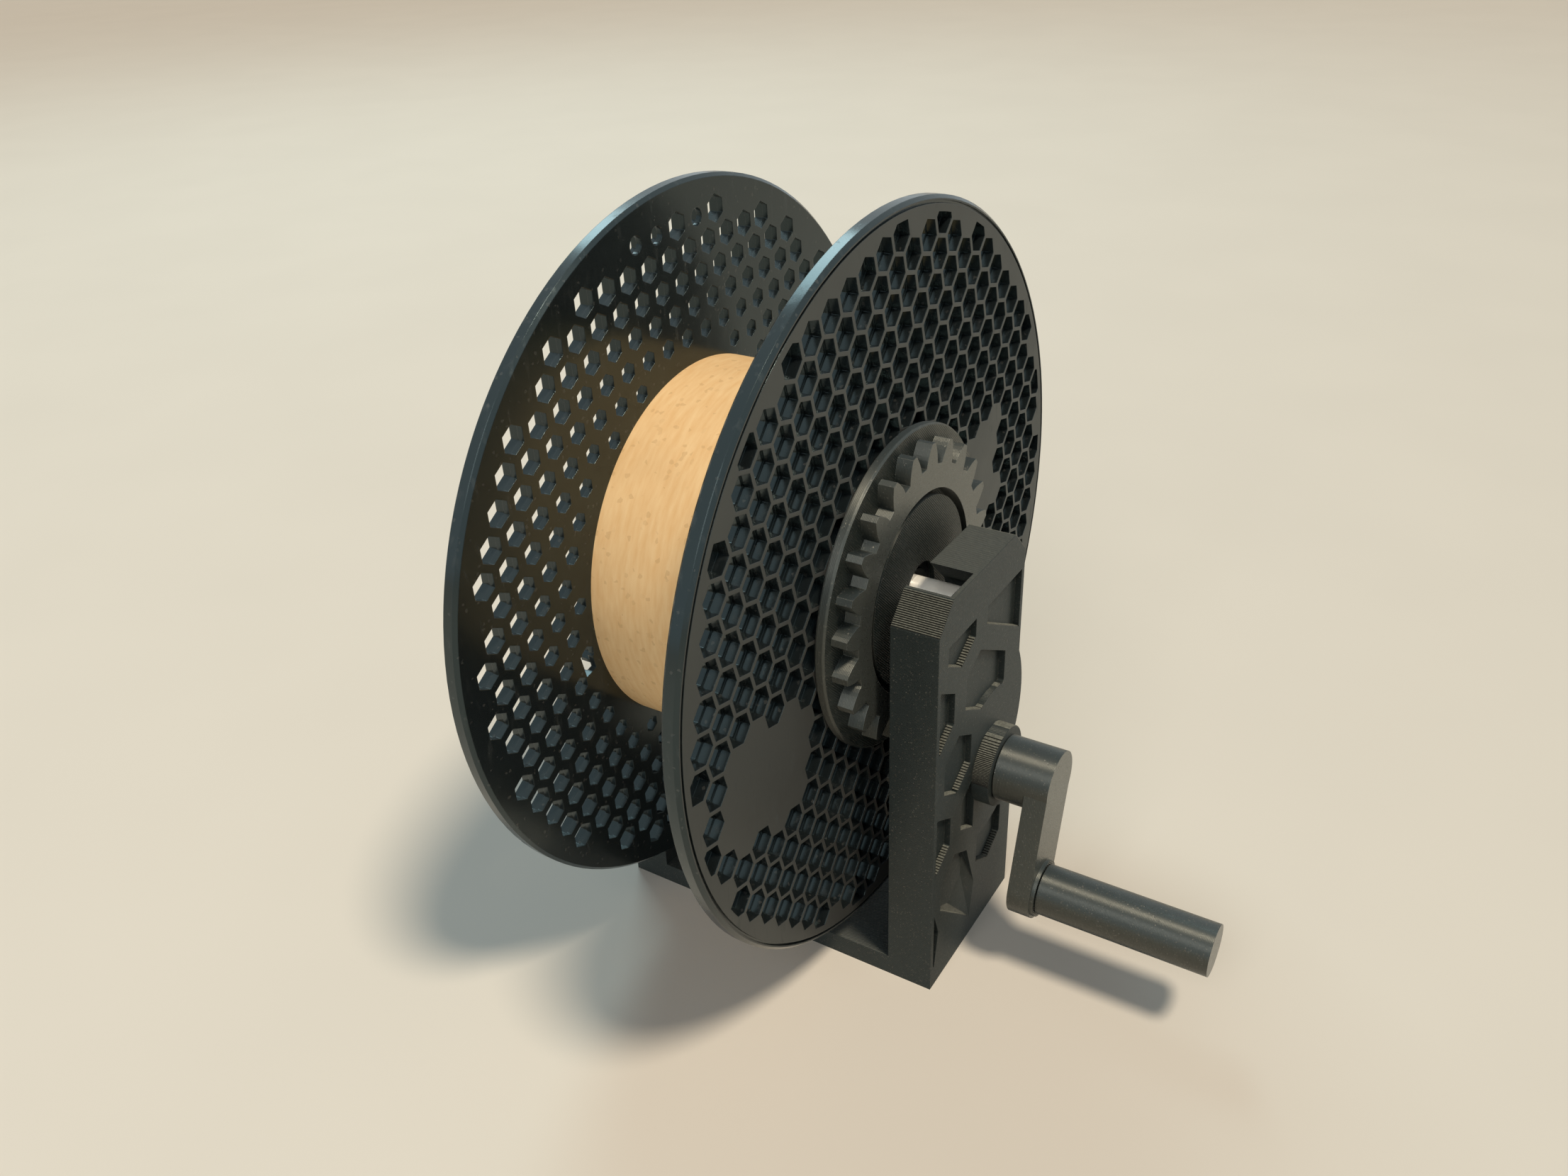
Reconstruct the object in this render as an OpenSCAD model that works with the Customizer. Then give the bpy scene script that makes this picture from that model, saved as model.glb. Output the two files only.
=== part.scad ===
// Hand-cranked filament rewinder with an empty spool on its axle.
// Y is the axle's axis, with the crank on the -Y side. X is to the right as seen from the crank.
// Z is up, the floor is z = 0, and the spool's middle plane is y = 0.

/* [Spool] */
// Outside diameter of the two flanges
flange_d = 200; // [180:1:210]
// Spool width over the outer faces of its flanges
spool_w = 66.3; // [60:0.1:75]
// Thickness of a flange, from winding side to rib tops
flange_t = 4.5; // [4:0.1:6]
// Thickness of the perforated plate under the ribs
plate_t = 1.7; // [1.2:0.1:2.5]
// Radial width of the plain rim
rim_w = 4; // [3:0.1:6]
// Width and depth of the groove round the rim's face
rim_groove = 0.7; // [0.4:0.1:1]
// Bevel on the rim's edges
rim_bevel = 0.9; // [0.3:0.1:1.2]
// Bore of the flanges
spool_bore_d = 53; // [50:0.1:56]
// Plain ring round the bore
bore_ring_w = 2.5; // [2:0.1:4]
// Outside diameter of the cardboard core
core_d = 104; // [95:1:115]
// Wall of the cardboard core
core_wall = 3; // [2:0.1:4]
// Height of the ring that centres the core
spigot_h = 2.5; // [1.5:0.1:4]
// Wall of that ring
spigot_wall = 1.6; // [1.2:0.1:2.5]
// Distance between honeycomb cells
cell_pitch = 8.6; // [7.5:0.1:12]
// Width of a honeycomb rib
cell_wall = 1.1; // [0.8:0.1:1.6]
// Turn of the front flange's honeycomb
front_turn = 16; // [0:1:59]
// Turn of the rear flange's honeycomb
rear_turn = 2; // [0:1:59]
// Plate hole across flats beside the rim
hole_rim = 6.9; // [5:0.1:7]
// Plate hole across flats beside the core
hole_core = 2.6; // [2:0.1:4]
// Diameter of the round holes that take a filament end
tie_hole_d = 4.6; // [3:0.1:6]
// Distance of those holes from the rim
tie_hole_inset = 10.5; // [8:0.5:15]

/* [Axle] */
// Diameter of the steel rod
axle_d = 8; // [8:0.1:8]
// Room between the flanges and the base
floor_gap = 6.3; // [4:0.1:12]
// Width of the slanting slots that hold the rod
slot_w = 9.2; // [8.4:0.1:10]
// How far the rod's round seat is wider than the slot, on each side
seat_relief = 0.2; // [0.1:0.05:0.4]
// Wall that closes each slot at its outer end
slot_end_wall = 1.3; // [1:0.1:3]
// Play of the rod's ends between those walls
axle_end_play = 0.2; // [0.1:0.05:0.5]
// Bevel on the rod's ends
axle_bevel = 0.5; // [0.2:0.1:1]

/* [Frame] */
// Width of the base and the uprights
frame_w = 53; // [50:0.5:60]
// Thickness of the upright on the crank side
near_t = 13.4; // [11:0.1:16]
// Thickness of the upright at the back
far_t = 12; // [10:0.1:16]
// Height of the uprights above the rod's axis
top_rise = 12.3; // [10:0.1:20]
// Bevel on the uprights' top corners
corner_bevel = 7.6; // [4:0.1:9]
// Thickness of the base
base_t = 6.4; // [5:0.1:9]
// Gap between the rear flange and the back upright
far_gap = 0.8; // [0.5:0.1:3]
// Gap between the gear's face and the crank-side upright
gear_gap = 4.4; // [3:0.1:8]
// Reach of the swelling beyond the upright's right edge
lobe_reach = 3.4; // [2:0.1:5]
// Height of the middle of that swelling above the crank's axis
lobe_rise = 12.8; // [6:0.1:16]
// Depth of the honeycomb recesses in the outer faces
recess_depth = 1.8; // [1:0.1:3]
// Recess across flats
recess_af = 16.5; // [12:0.1:20]
// Distance between recesses
recess_pitch = 23.4; // [20:0.1:28]
// Plain border at the upright's sides
recess_border = 1.6; // [1:0.1:4]
// Plain band at the upright's top
recess_top_band = 13; // [10:0.5:20]
// Radius of the plain face round the crank's axis
crank_face_r = 23.3; // [18:0.1:28]

/* [Gears] */
// Gear module
gear_module = 3.15; // [3.1:0.01:3.2]
// Teeth of the drive gear
gear_teeth = 24; // [24:1:26]
// Teeth of the pinion
pinion_teeth = 11; // [10:1:12]
// Pressure angle
pressure_angle = 25; // [22:0.5:28]
// Height of a tooth above the pitch circle
addendum = 2.85; // [2.4:0.05:2.9]
// Depth of a tooth below the pitch circle
dedendum = 3.15; // [3.1:0.05:3.6]
// Play between meshed teeth
backlash = 0.4; // [0.2:0.05:0.8]
// Face width of the drive gear
gear_w = 4.3; // [3:0.1:8]
// Width of the backing disc outside the teeth
gear_disc_lip = 3.5; // [2:0.1:6]
// Thickness of the gear's backing disc
gear_disc_t = 2.75; // [2:0.05:4]
// Bevel on the edges of that disc
gear_disc_bevel = 0.5; // [0.2:0.1:1]
// Groove between the toothed ring and the hub's face
hub_groove_w = 2; // [1:0.1:4]
// Length of the sleeve in the spool's bore
sleeve_l = 14; // [10:0.5:20]
// Wall of that sleeve
sleeve_wall = 3; // [2:0.1:4]
// Play of sleeve and rear hub in the spool's bore
bore_play = 0.05; // [0.02:0.01:0.2]

/* [Hubs and bearings] */
// Diameter of the front hub's face
hub_face_d = 52; // [48:0.1:53]
// Step of the hub's face behind the gear's face
hub_face_step = 0.5; // [0.3:0.1:2]
// Diameter of the hub's spigot in the gear
hub_spigot_d = 40; // [34:0.1:44]
// Play of the spigot in the gear
hub_spigot_play = 0.02; // [0.01:0.01:0.1]
// Length of the spigot behind the gear's disc
hub_spigot_l = 8.5; // [6:0.1:12]
// Length of the rear hub
rear_hub_l = 18; // [14:0.5:24]
// Lip that holds each bearing
bearing_lip_t = 1.5; // [1:0.1:3]
// Hole in that lip
bearing_lip_d = 16.6; // [14:0.1:19]
// Outside diameter of the bearings
bearing_d = 22; // [22:1:22]
// Width of the bearings
bearing_w = 7; // [7:1:7]
// Thickness of each bearing ring
race_t = 1.9; // [1.6:0.1:2.2]
// Diameter of the balls
ball_d = 3.97; // [3.9:0.01:4]
// Balls in each bearing
ball_count = 7; // [6:1:7]
// Clearance of a ball in its groove
ball_play = 0.06; // [0.04:0.01:0.1]
// Thickness of the bearing shields
shield_t = 0.35; // [0.3:0.05:0.6]

/* [Crank] */
// Distance of the crank's axis to the right of the axle
crank_x = 8.2; // [4:0.1:12]
// Diameter of the crank's shaft
shaft_d = 14; // [10:0.1:16]
// Radial play of each turning printed part
running_play = 0.05; // [0.02:0.01:0.1]
// Diameter of the bearing boss on the upright
boss_d = 23.2; // [20:0.1:26]
// Height of the bearing boss
boss_h = 5; // [3:0.1:8]
// End play between crank, boss and upright
end_play = 0.3; // [0.2:0.05:0.6]
// Diameter of the crank's hub
hub_d = 18.8; // [17:0.1:22]
// Length of the crank's hub behind its arm
hub_l = 9.3; // [6:0.1:14]
// Distance from the crank's axis to the grip's axis
arm_l = 32; // [26:0.1:40]
// Width of the arm
arm_w = 18; // [16:0.1:22]
// Thickness of the arm
arm_t = 6.5; // [5:0.1:9]
// Turn of the arm from straight down
arm_turn = 15.6; // [-45:0.1:45]
// Across flats of the shaft's drive for the pinion
drive_af = 9; // [7:0.1:11]
// Gap between the pinion and the gear's disc
pinion_disc_gap = 0.4; // [0.3:0.1:1]

/* [Grip] */
// Diameter of the grip
grip_d = 14.5; // [12:0.1:18]
// Length of the grip
grip_l = 47.6; // [35:0.1:60]
// Diameter of the raised ring under the grip
collar_d = 16.4; // [14:0.1:18]
// Height of that ring
collar_h = 1; // [0.6:0.1:2]
// Diameter of the grip's journal in the arm
journal_d = 9; // [7:0.1:11]
// End play of the grip
grip_play = 0.25; // [0.15:0.05:0.5]

/* [Screws] */
// Diameter of the screws
screw_d = 3; // [3:0.5:4]
// Diameter of the screw heads
screw_head_d = 6; // [5.5:0.1:8]
// Height of the screw heads
screw_head_h = 1.6; // [1.5:0.1:3]
// Length of the screws below the head
screw_l = 12; // [10:0.5:16]
// Depth of a screw's hexagon socket
socket_depth = 1; // [0.8:0.1:1.3]
// Across flats of that socket
socket_af = 2; // [1.5:0.1:3]
// Plain web that the pinion's screw clamps
pinion_web = 1.2; // [1:0.1:2]
// Room round a screw head in its recess
head_room = 0.3; // [0.2:0.05:0.6]
// Diameter of the washer sunk in the arm's back
washer_d = 13; // [11:0.1:16]
// Thickness of that washer
washer_t = 1; // [0.8:0.1:2]

/* [Hidden] */
$fn = 96;
eps = 0.01;

// Places along the axle
front_face_y = -spool_w / 2;
rear_face_y = spool_w / 2;
front_plate_y = front_face_y + flange_t;
rear_plate_y = rear_face_y - flange_t;
disc_y = front_face_y - gear_disc_t;
gear_y = disc_y - gear_w;
near_in_y = gear_y - gear_gap;
near_out_y = near_in_y - near_t;
far_in_y = rear_face_y + far_gap;
far_out_y = far_in_y + far_t;

// Heights
flange_r = flange_d / 2;
axle_z = base_t + floor_gap + flange_r;
upright_h = axle_z + top_rise;

// Spool
spool_bore_r = spool_bore_d / 2;
core_r = core_d / 2;
core_in_r = core_r - core_wall;
spigot_r = core_in_r - eps;
comb_in_r = spool_bore_r + bore_ring_w;
comb_out_r = flange_r - rim_w;
cell_af = cell_pitch - cell_wall;
comb_span = ceil(flange_d / cell_pitch / sqrt(3)) + 1;
tie_angles = [84, 89, 98, 103];
tie_points = [for (a = tie_angles) (flange_r - tie_hole_inset) * [cos(a), sin(a)]];
start_slot_r = core_r + 5;
start_slot_turn = 192;
start_slot = [4, 7];
label_patches = [[-84, -34, -49, -4], [42, -3, 62, 27]];

// Axle and slots
axle_r = axle_d / 2;
seat_r = slot_w / 2 + seat_relief;
seat_rise = seat_r - axle_r;
axle_front_y = near_out_y + slot_end_wall + axle_end_play;
axle_rear_y = far_out_y - slot_end_wall - axle_end_play;

// Gears
gear_pitch_r = gear_module * gear_teeth / 2;
pinion_pitch_r = gear_module * pinion_teeth / 2;
centre_distance = gear_pitch_r + pinion_pitch_r;
crank_z = axle_z - sqrt(centre_distance * centre_distance - crank_x * crank_x);
mesh_turn = atan2(crank_z - axle_z, crank_x);
gear_phase = 180 / gear_teeth;
pinion_phase = mesh_turn + 180 + 180 / pinion_teeth
    + gear_teeth / pinion_teeth * (mesh_turn - gear_phase);
flank_steps = 6;
gear_disc_r = gear_pitch_r + addendum + gear_disc_lip;
gear_bore_r = hub_face_d / 2 + hub_groove_w;
hub_spigot_r = hub_spigot_d / 2;
sleeve_r = spool_bore_r - bore_play;

// Bearings
bearing_r = bearing_d / 2;
race_mid_r = (bearing_r + axle_r) / 2;
outer_land_r = bearing_r - race_t;
inner_land_r = axle_r + race_t;
groove_r = ball_d / 2 + ball_play;
front_bearing_y = gear_y + hub_face_step + bearing_lip_t;
rear_bearing_y = rear_face_y - bearing_lip_t - bearing_w;

// Crank and grip
shaft_r = shaft_d / 2;
boss_y = near_out_y - boss_h;
hub_y = boss_y - end_play;
arm_back_y = hub_y - hub_l;
arm_front_y = arm_back_y - arm_t;
collar_y = arm_front_y - collar_h;
grip_back_y = collar_y - grip_play;
grip_front_y = grip_back_y - grip_l;
grip_x = crank_x - arm_l * sin(arm_turn);
grip_z = crank_z - arm_l * cos(arm_turn);
pinion_front_y = near_in_y + end_play;
pinion_back_y = disc_y - pinion_disc_gap;
head_recess_h = screw_head_h + pinion_disc_gap / 2;
web_back_y = pinion_back_y - head_recess_h;
drive_end_y = web_back_y - pinion_web;
washer_recess_h = grip_play + washer_t + screw_head_h + head_room;
washer_floor_y = arm_back_y - washer_recess_h;
journal_end_y = washer_floor_y + grip_play;
journal_r = journal_d / 2;
screw_r = screw_d / 2;
screw_head_r = screw_head_d / 2;

// Swelling and recesses of the uprights
lobe_r = frame_w / 2 + lobe_reach;
lobe_z = crank_z + lobe_rise;
recess_rise = recess_pitch * sqrt(3) / 2;
recess_origin = [-1.1, axle_z - 21.6];
recess_side = frame_w / 2 - recess_border;
recess_rows = floor((recess_origin[1] - base_t) / recess_rise);
ramp_corner = [12, -14];

// A front view drawn in x and z, raised from plane y_back towards the crank side as far as y_front.
module between(y_front, y_back) {
    translate([0, y_back, 0])
        rotate([90, 0, 0])
            linear_extrude(y_back - y_front)
                children();
}

// A round bar along Y.
module bar(r, y_front, y_back, x = 0, z = axle_z) {
    translate([x, y_back, z])
        rotate([90, 0, 0])
            cylinder(r = r, h = y_back - y_front);
}

// A tube along Y.
module tube(r_out, r_in, y_front, y_back, x = 0, z = axle_z) {
    difference() {
        bar(r_out, y_front, y_back, x, z);
        bar(r_in, y_front - 1, y_back + 1, x, z);
    }
}

// A revolved profile about the axle, drawn as [radius, y].
module turned() {
    translate([0, 0, axle_z])
        rotate([-90, 0, 0])
            rotate_extrude()
                children();
}

// A hexagon by its width across flats, with a flat towards the given angle.
module hexagon(af, turn) {
    rotate(turn + 30)
        circle(r = af / sqrt(3), $fn = 6);
}

// Frame

function hex_corner(c, af, turn) = c + af / sqrt(3) * [cos(turn), sin(turn)];

module upright_outline() {
    half = frame_w / 2;
    polygon([[-half, 0], [half, 0], [half, upright_h - corner_bevel],
        [half - corner_bevel, upright_h], [corner_bevel - half, upright_h],
        [-half, upright_h - corner_bevel]]);
}

module upright_swelling() {
    intersection() {
        translate([0, lobe_z])
            circle(r = lobe_r);
        translate([0, lobe_z - lobe_r])
            square(2 * lobe_r);
    }
}

// The slot runs from the rod's seat up to the left at 45 degrees.
module slot_outline() {
    translate([0, axle_z + seat_rise]) {
        circle(r = seat_r);
        rotate(45)
            translate([-slot_w / 2, 0])
                square([slot_w, upright_h]);
    }
}

// The recess in a row and column. Odd rows are half a pitch to the right.
function recess_centre(row, col) = recess_origin
    + [(col + (row % 2 == 0 ? 0 : 0.5)) * recess_pitch, row * recess_rise];

module recess(row, col) {
    translate(recess_centre(row, col))
        hexagon(recess_af, 0);
}

// A recess drawn out along its lower left edge.
module long_recess(row, col, stretch) {
    c = recess_centre(row, col);
    d = c + stretch * [cos(30), -sin(30)];
    polygon([for (a = [90, 150, 210]) hex_corner(c, recess_af, a),
        for (a = [270, 330, 390]) hex_corner(d, recess_af, a)]);
}

// The part of an upright's face that may hold recesses.
module recess_window() {
    translate([-recess_side, base_t])
        square([2 * recess_side, upright_h - recess_top_band - base_t]);
}

// A low recess at the face, drawn out towards the lower right.
module low_recess(col) {
    c = recess_centre(-3, col);
    polygon([for (a = [30, 90, 150, 210]) hex_corner(c, recess_af, a),
        hex_corner(c, recess_af, 270) + ramp_corner,
        hex_corner(c, recess_af, 330) + ramp_corner / 2]);
}

module near_recesses() {
    intersection() {
        difference() {
            union() {
                recess(1, -1);
                long_recess(1, 0, 16.3);
                recess(0, -1);
                long_recess(0, 0, 10.4);
                recess(-1, -1);
                recess(-2, -1);
                recess(-2, 0);
                recess(-3, 0);
                low_recess(-2);
            }
            intersection() {
                translate([crank_x, crank_z])
                    circle(r = crank_face_r);
                translate([recess_origin[0], 0])
                    square(upright_h);
            }
        }
        recess_window();
    }
}

// The low recess whose floor rises to the face towards the lower right.
module ramp_recess() {
    floor_y = near_out_y + recess_depth;
    hull() {
        between(floor_y - eps, floor_y)
            recess(-3, -1);
        between(near_out_y - 2 * eps, near_out_y - eps)
            low_recess(-1);
    }
}

module far_recesses() {
    intersection() {
        for (row = [-recess_rows:1])
            for (col = [-2:1])
                recess(row, col);
        recess_window();
    }
}

module frame() {
    color("DimGray")
    difference() {
        union() {
            translate([-frame_w / 2, near_out_y, 0])
                cube([frame_w, far_out_y - near_out_y, base_t]);
            between(near_out_y, near_in_y)
                union() {
                    upright_outline();
                    upright_swelling();
                }
            between(far_in_y, far_out_y)
                upright_outline();
            bar(boss_d / 2, boss_y, near_out_y + 1, crank_x, crank_z);
        }
        between(near_out_y + slot_end_wall, near_in_y + 1)
            slot_outline();
        between(far_in_y - 1, far_out_y - slot_end_wall)
            slot_outline();
        between(near_out_y - eps, near_out_y + recess_depth)
            near_recesses();
        ramp_recess();
        between(far_out_y - recess_depth, far_out_y + eps)
            far_recesses();
        bar(shaft_r + running_play, boss_y - 1, near_in_y + 1, crank_x, crank_z);
    }
}

module axle_rod() {
    color("Silver")
    turned()
        polygon([[0, axle_front_y], [axle_r - axle_bevel, axle_front_y],
            [axle_r, axle_front_y + axle_bevel], [axle_r, axle_rear_y - axle_bevel],
            [axle_r - axle_bevel, axle_rear_y], [0, axle_rear_y]]);
}

// Spool

function cell(i, j, turn) = cell_pitch * [i * cos(turn) + j * cos(turn + 60),
    i * sin(turn) + j * sin(turn + 60)];

function hole_af(r) = hole_core
    + (hole_rim - hole_core) * (r - comb_in_r) / (comb_out_r - comb_in_r);

function is_tie(c) = min([for (p = tie_points) norm(c - p)]) < cell_pitch / 2;

function in_patch(c) = len([for (p = label_patches)
    if (c[0] > p[0] && c[1] > p[1] && c[0] < p[2] && c[1] < p[3]) p]) > 0;

module comb_cells(turn, patches) {
    intersection() {
        difference() {
            circle(r = comb_out_r);
            circle(r = comb_in_r);
        }
        for (i = [-comb_span:comb_span])
            for (j = [-comb_span:comb_span]) {
                c = cell(i, j, turn);
                r = norm(c);
                fits = r > comb_in_r + cell_af / 4 && r < comb_out_r - cell_af / 6;
                if (fits && !(patches && in_patch(c)))
                    translate(c)
                        hexagon(cell_af, turn);
            }
    }
}

module plate_holes(turn, patches) {
    for (i = [-comb_span:comb_span])
        for (j = [-comb_span:comb_span]) {
            c = cell(i, j, turn);
            r = norm(c);
            half = hole_af(r) / sqrt(3);
            fits = r - half > comb_in_r && r + half < comb_out_r;
            seat = r + half > spigot_r - spigot_wall && r - half < core_r;
            if (fits && !seat && !(patches && in_patch(c)))
                translate(c)
                    if (is_tie(c))
                        circle(d = tie_hole_d);
                    else
                        hexagon(hole_af(r), turn);
        }
}

// A flange with its winding side at z = 0 and its ribs towards +z.
module flange(turn, patches) {
    groove = comb_out_r + rim_w / 2;
    difference() {
        rotate_extrude()
            polygon([[spool_bore_r, 0], [spool_bore_r, flange_t], [groove, flange_t],
                [groove, flange_t - rim_groove], [groove + rim_groove, flange_t - rim_groove],
                [groove + rim_groove, flange_t], [flange_r - rim_bevel, flange_t],
                [flange_r, flange_t - rim_bevel], [flange_r, rim_bevel],
                [flange_r - rim_bevel, 0], [spigot_r, 0], [spigot_r, -spigot_h],
                [spigot_r - spigot_wall, -spigot_h], [spigot_r - spigot_wall, 0]]);
        translate([0, 0, plate_t])
            linear_extrude(flange_t)
                comb_cells(turn, patches);
        translate([0, 0, -1])
            linear_extrude(plate_t + 1 + eps)
                plate_holes(turn, patches);
        if (!patches)
            rotate(start_slot_turn)
                translate([start_slot_r, 0, flange_t / 2])
                    cube([start_slot[0], start_slot[1], 2 * flange_t], center = true);
    }
}

module front_flange() {
    color("Black")
    translate([0, front_plate_y, axle_z])
        rotate([90, 0, 0])
            flange(front_turn, true);
}

module rear_flange() {
    color("Black")
    translate([0, rear_plate_y, axle_z])
        mirror([0, 1, 0])
            rotate([90, 0, 0])
                flange(rear_turn, false);
}

module spool_core() {
    color("Tan")
    tube(core_r, core_in_r, front_plate_y, rear_plate_y);
}

// Gears

function involute_deg(angle) = tan(angle) * 180 / PI - angle;

function flank_turn(r, base_r, half) = half - involute_deg(acos(min(1, base_r / r)));

// One tooth's outline as [radius, turn], from its right root to its left root.
function tooth(pitch_r, teeth) =
    let (base_r = pitch_r * cos(pressure_angle),
        root_r = pitch_r - dedendum,
        tip_r = pitch_r + addendum,
        from_r = max(base_r, root_r),
        half = 90 / teeth + involute_deg(pressure_angle) - backlash / 4 / pitch_r * 180 / PI,
        radii = [for (k = [0:flank_steps]) from_r + (tip_r - from_r) * k / flank_steps],
        flank = [for (r = radii) [r, flank_turn(r, base_r, half)]],
        foot = root_r < base_r ? [[root_r, half]] : [])
    concat([for (p = concat(foot, flank)) [p[0], -p[1]]],
        [for (k = [len(flank) - 1:-1:0]) flank[k]], foot);

module gear_outline(pitch_r, teeth, phase) {
    one = tooth(pitch_r, teeth);
    polygon([for (n = [0:teeth - 1])
        for (p = one)
            p[0] * [cos(p[1] + phase + 360 / teeth * n), sin(p[1] + phase + 360 / teeth * n)]]);
}

module drive_gear() {
    color("DimGray")
    difference() {
        union() {
            between(gear_y, disc_y + eps)
                translate([0, axle_z])
                    gear_outline(gear_pitch_r, gear_teeth, gear_phase);
            turned()
                polygon([[0, disc_y], [gear_disc_r - gear_disc_bevel, disc_y],
                    [gear_disc_r, disc_y + gear_disc_bevel], [gear_disc_r, front_face_y - gear_disc_bevel],
                    [gear_disc_r - gear_disc_bevel, front_face_y], [0, front_face_y]]);
            bar(sleeve_r, front_face_y - eps, front_face_y + sleeve_l);
        }
        bar(gear_bore_r, gear_y - 1, disc_y);
        bar(hub_spigot_r, gear_y - 1, front_face_y + 1);
        bar(sleeve_r - sleeve_wall, front_face_y, front_face_y + sleeve_l + 1);
    }
}

module pinion() {
    color("DimGray")
    difference() {
        between(pinion_front_y, pinion_back_y)
            translate([crank_x, crank_z])
                gear_outline(pinion_pitch_r, pinion_teeth, pinion_phase);
        between(pinion_front_y - 1, drive_end_y)
            translate([crank_x, crank_z])
                hexagon(drive_af, 0);
        bar(screw_r, pinion_front_y, pinion_back_y + 1, crank_x, crank_z);
        bar(screw_head_r + head_room, web_back_y, pinion_back_y + 1, crank_x, crank_z);
    }
}

// Hubs and bearings

module front_hub() {
    face_y = gear_y + hub_face_step;
    end_y = front_face_y + hub_spigot_l;
    color("DimGray")
    difference() {
        union() {
            bar(hub_face_d / 2, face_y, disc_y);
            bar(hub_spigot_r - hub_spigot_play, disc_y - eps, end_y);
        }
        bar(bearing_lip_d / 2, face_y - 1, end_y);
        bar(bearing_r, front_bearing_y, end_y + 1);
    }
}

module rear_hub() {
    end_y = rear_face_y - rear_hub_l;
    pocket_wall = sleeve_wall;
    color("DimGray")
    difference() {
        bar(sleeve_r, end_y, rear_face_y);
        bar(bearing_lip_d / 2, end_y, rear_face_y + 1);
        bar(bearing_r, end_y - 1, rear_bearing_y + bearing_w);
        tube(sleeve_r - pocket_wall, bearing_r + pocket_wall, end_y - 1, rear_bearing_y);
    }
}

// A bearing's outer ring, front face at y.
module bearing_outer(y) {
    turned()
        difference() {
            translate([outer_land_r, y])
                square([race_t, bearing_w]);
            translate([race_mid_r, y + bearing_w / 2])
                circle(r = groove_r);
        }
}

module bearing_inner(y) {
    turned()
        difference() {
            translate([axle_r, y])
                square([race_t, bearing_w]);
            translate([race_mid_r, y + bearing_w / 2])
                circle(r = groove_r);
        }
}

// The balls on the thin ring that spaces them.
module bearing_balls(y) {
    ring_t = ball_d / 5;
    translate([0, y + bearing_w / 2, axle_z])
        rotate([90, 0, 0])
            union() {
                difference() {
                    cylinder(r = race_mid_r + ring_t, h = ring_t, center = true);
                    cylinder(r = race_mid_r - ring_t, h = 2 * ring_t, center = true);
                }
                for (n = [0:ball_count - 1])
                    rotate(360 / ball_count * n)
                        translate([race_mid_r, 0, 0])
                            sphere(d = ball_d);
            }
}

module bearing_shields(y) {
    gap = shield_t;
    tube(outer_land_r, inner_land_r + gap, y + gap, y + gap + shield_t);
    tube(outer_land_r, inner_land_r + gap, y + bearing_w - gap - shield_t, y + bearing_w - gap);
}

module front_bearing_outer() {
    color("LightGray")
    bearing_outer(front_bearing_y);
}

module front_bearing_inner() {
    color("LightGray")
    bearing_inner(front_bearing_y);
}

module front_bearing_balls() {
    color("Gainsboro")
    bearing_balls(front_bearing_y);
}

module front_bearing_shields() {
    color("Gray")
    bearing_shields(front_bearing_y);
}

module rear_bearing_outer() {
    color("LightGray")
    bearing_outer(rear_bearing_y);
}

module rear_bearing_inner() {
    color("LightGray")
    bearing_inner(rear_bearing_y);
}

module rear_bearing_balls() {
    color("Gainsboro")
    bearing_balls(rear_bearing_y);
}

module rear_bearing_shields() {
    color("Gray")
    bearing_shields(rear_bearing_y);
}

// Crank

module arm_outline() {
    translate([crank_x, crank_z])
        rotate(-arm_turn) {
            translate([-arm_w / 2, -arm_l])
                square([arm_w, arm_l]);
            translate([0, -arm_l])
                circle(d = arm_w);
        }
}

module crank() {
    color("DimGray")
    difference() {
        union() {
            bar(shaft_r, hub_y - 1, pinion_front_y, crank_x, crank_z);
            bar(hub_d / 2, arm_front_y, hub_y, crank_x, crank_z);
            between(arm_front_y, arm_back_y)
                arm_outline();
            bar(collar_d / 2, collar_y, arm_front_y + 1, grip_x, grip_z);
            between(pinion_front_y - 1, drive_end_y)
                translate([crank_x, crank_z])
                    hexagon(drive_af, 0);
        }
        bar(journal_r + running_play, collar_y - 1, arm_back_y + 1, grip_x, grip_z);
        bar(washer_d / 2 + head_room, washer_floor_y, arm_back_y + 1, grip_x, grip_z);
        bar(screw_r, web_back_y - screw_l - 1, drive_end_y + 1, crank_x, crank_z);
    }
}

// A screw with its head's seat at y_seat and its shank towards the crank side.
module screw(y_seat, x, z) {
    difference() {
        union() {
            bar(screw_head_r, y_seat, y_seat + screw_head_h, x, z);
            bar(screw_r, y_seat - screw_l, y_seat + eps, x, z);
        }
        between(y_seat + screw_head_h - socket_depth, y_seat + screw_head_h + 1)
            translate([x, z])
                hexagon(socket_af, 0);
    }
}

module pinion_screw() {
    color("Silver")
    screw(web_back_y, crank_x, crank_z);
}

// Grip

module grip() {
    color("DimGray")
    difference() {
        union() {
            bar(grip_d / 2, grip_front_y, grip_back_y, grip_x, grip_z);
            bar(journal_r, grip_back_y - 1, journal_end_y, grip_x, grip_z);
        }
        bar(screw_r, journal_end_y + washer_t - screw_l - 1, journal_end_y + 1, grip_x, grip_z);
    }
}

module grip_washer() {
    color("Silver")
    tube(washer_d / 2, screw_r, journal_end_y, journal_end_y + washer_t, grip_x, grip_z);
}

module grip_screw() {
    color("Silver")
    screw(journal_end_y + washer_t, grip_x, grip_z);
}

frame();
axle_rod();
front_flange();
rear_flange();
spool_core();
drive_gear();
front_hub();
rear_hub();
front_bearing_outer();
front_bearing_inner();
front_bearing_balls();
front_bearing_shields();
rear_bearing_outer();
rear_bearing_inner();
rear_bearing_balls();
rear_bearing_shields();
crank();
pinion();
pinion_screw();
grip();
grip_screw();
grip_washer();
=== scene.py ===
"""Looks of a hand-cranked filament rewinder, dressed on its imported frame."""

import logging
import math
from dataclasses import dataclass
from enum import Enum

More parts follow.
